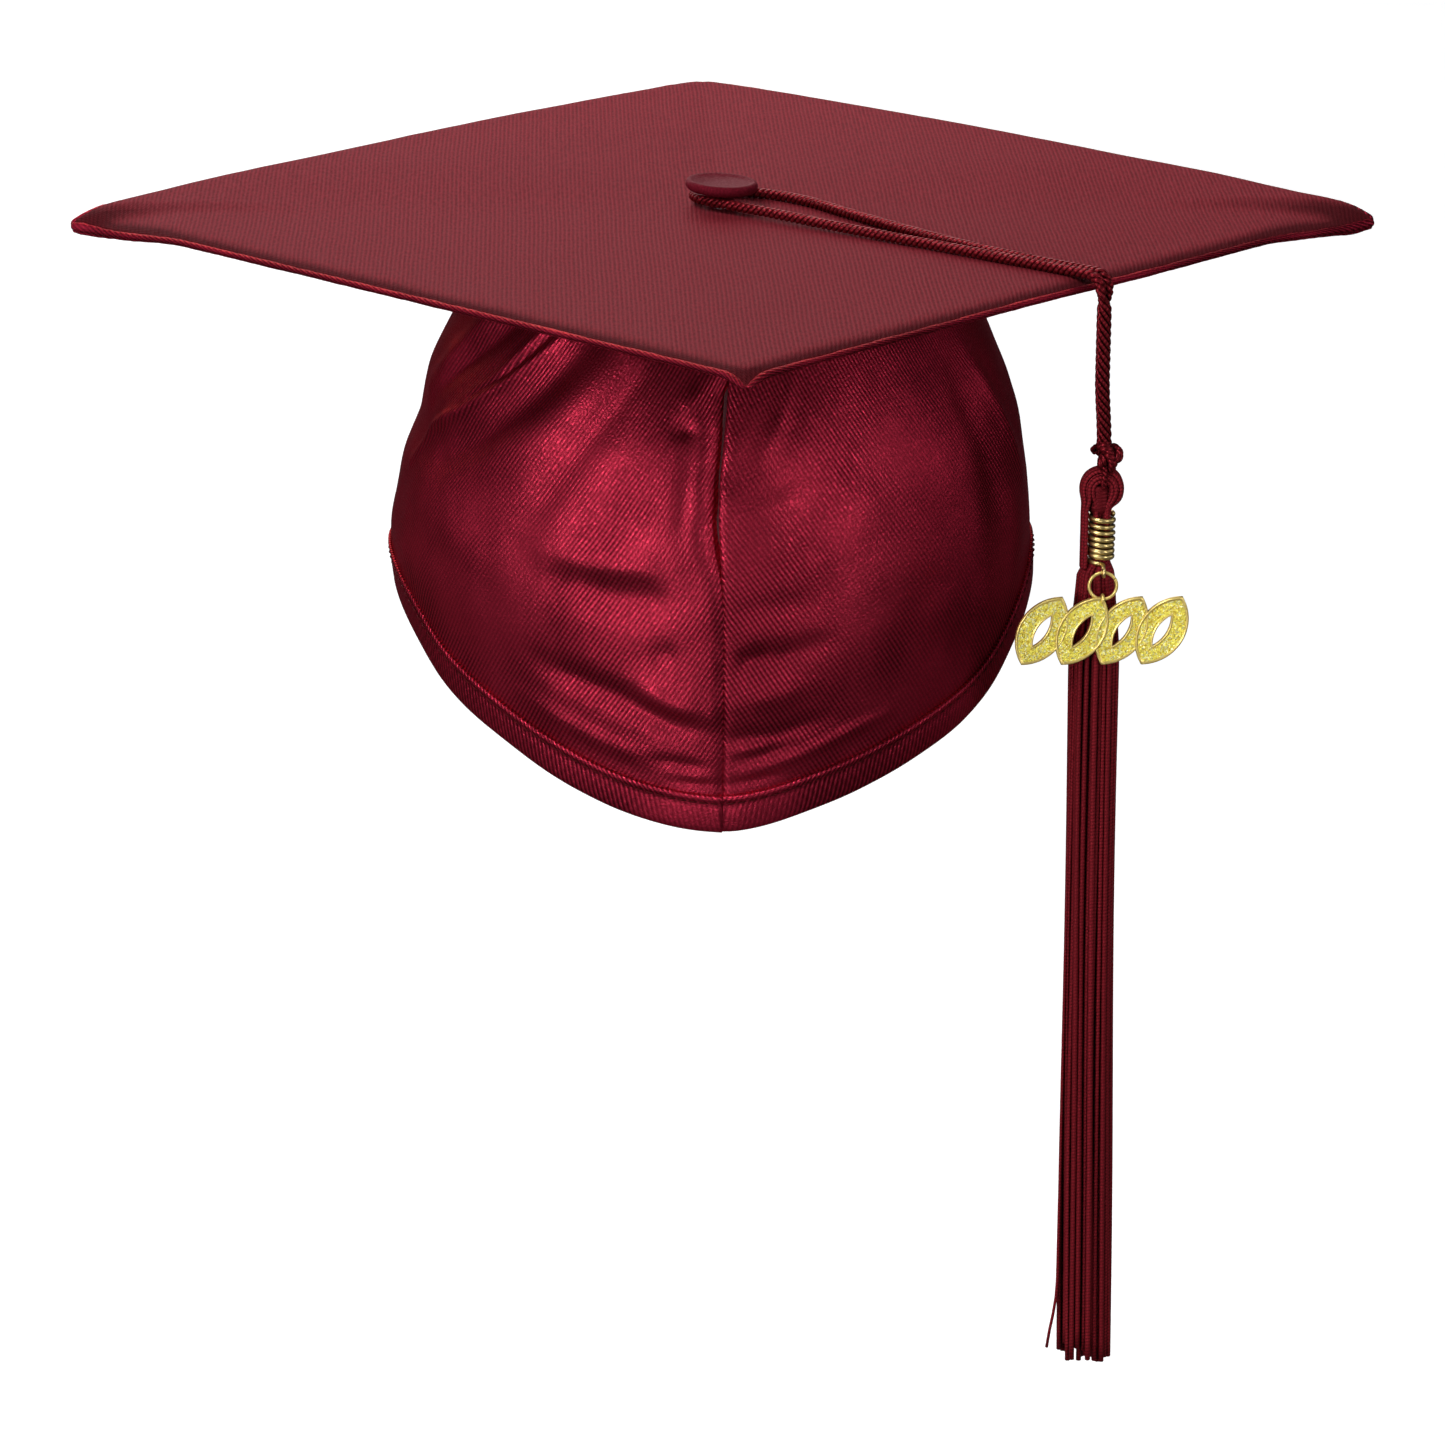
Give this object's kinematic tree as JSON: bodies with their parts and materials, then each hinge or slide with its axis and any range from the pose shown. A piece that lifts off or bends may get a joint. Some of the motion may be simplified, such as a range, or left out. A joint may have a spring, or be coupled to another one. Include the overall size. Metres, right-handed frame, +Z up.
{
  "type": "graduation cap",
  "caption": "Square fabric-covered mortarboard on a seamed skull cap, with a covered button and a corded tassel that carries a gilt charm.",
  "frame": {"origin": "centre of the flat underside of the crown pad, where the top of the wearer's head touches the cap", "axes": "+Z up out of the top of the head, -Y towards the wearer's front (one corner of the board points that way), +X towards the wearer's left"},
  "size_m": [0.3364, 0.3364, 0.3012],
  "materials": {
    "board_twill": "matte twill",
    "board_card": "plain",
    "cap_satin": "satin twill",
    "cap_tape": "plain weave",
    "elastic": "ribbed",
    "thread": "twisted",
    "felt": "felt",
    "label": "woven, blank",
    "button_satin": "satin",
    "button_metal": "plain",
    "retainer_steel": "plain",
    "cord_rayon": "twisted cord",
    "gilt_wire": "bright",
    "charm_gilt": "bright",
    "charm_glitter": "glitter"
  },
  "bodies": {
    "cap": {"board_core": "board_card", "board_top_cover": "board_twill", "board_bottom_cover": "board_twill", "edge_piping": "cap_satin", "skullcap_left_panel": "cap_satin", "skullcap_right_panel": "cap_satin", "hem_band_left": "cap_satin", "hem_band_right": "cap_satin", "hem_stitching": "thread", "elastic_band": "elastic", "seam_tape_front": "cap_tape", "seam_tape_back": "cap_tape", "care_label": "label", "crown_stitching": "thread", "crown_pad": "felt"},
    "button": {"button_back": "button_metal", "button_shell": "button_metal", "button_cover": "button_satin", "button_retainer": "retainer_steel"},
    "cord_run": {"tassel_cord_loop": "cord_rayon"},
    "cord_bend": {"tassel_cord_bend": "cord_rayon"},
    "cord_drop": {"tassel_cord_drop": "cord_rayon"},
    "knot": {"cord_knot": "cord_rayon"},
    "tassel": {"tassel_head": "cord_rayon", "wire_coil": "gilt_wire", "tassel_skirt": "cord_rayon"},
    "link": {"jump_ring": "gilt_wire"},
    "charm": {"charm_frame": "charm_gilt", "charm_glitter": "charm_glitter"}
  },
  "joints": [
    {"name": "button_turn", "type": "hinge", "parent": "cap", "child": "button", "pos_m": [0, 0, 0.0099], "axis": [0, 0, 1], "continuous": true},
    {"name": "cord_turn", "type": "hinge", "parent": "cap", "child": "cord_run", "pos_m": [0, 0, 0.00705], "axis": [0, 0, 1], "range_deg": [-13, 6]},
    {"name": "edge_sway", "type": "hinge", "parent": "cord_run", "child": "cord_bend", "pos_m": [0.09065, -0.07962, 0.00705], "axis": [0.7071, -0.7071, 0], "range_deg": [-20, 20]},
    {"name": "edge_swing", "type": "hinge", "parent": "cord_bend", "child": "cord_drop", "pos_m": [0.0932, -0.08217, 0.00345], "axis": [-0.7071, -0.7071, 0], "range_deg": [0, 80]},
    {"name": "tassel_twist", "type": "hinge", "parent": "cord_drop", "child": "knot", "pos_m": [0.0932, -0.08217, -0.0366], "axis": [0, 0, 1], "range_deg": [-180, 180]},
    {"name": "tassel_sway", "type": "hinge", "parent": "knot", "child": "tassel", "pos_m": [0.0932, -0.08217, -0.048], "axis": [0, -1, 0], "range_deg": [-20, 20]},
    {"name": "ring_tip", "type": "hinge", "parent": "tassel", "child": "link", "pos_m": [0.0932, -0.08827, -0.0682], "axis": [1, 0, 0], "range_deg": [-30, 0]},
    {"name": "charm_sway", "type": "hinge", "parent": "link", "child": "charm", "pos_m": [0.0932, -0.08827, -0.0717], "axis": [0, -1, 0], "range_deg": [-25, 25]}
  ]
}
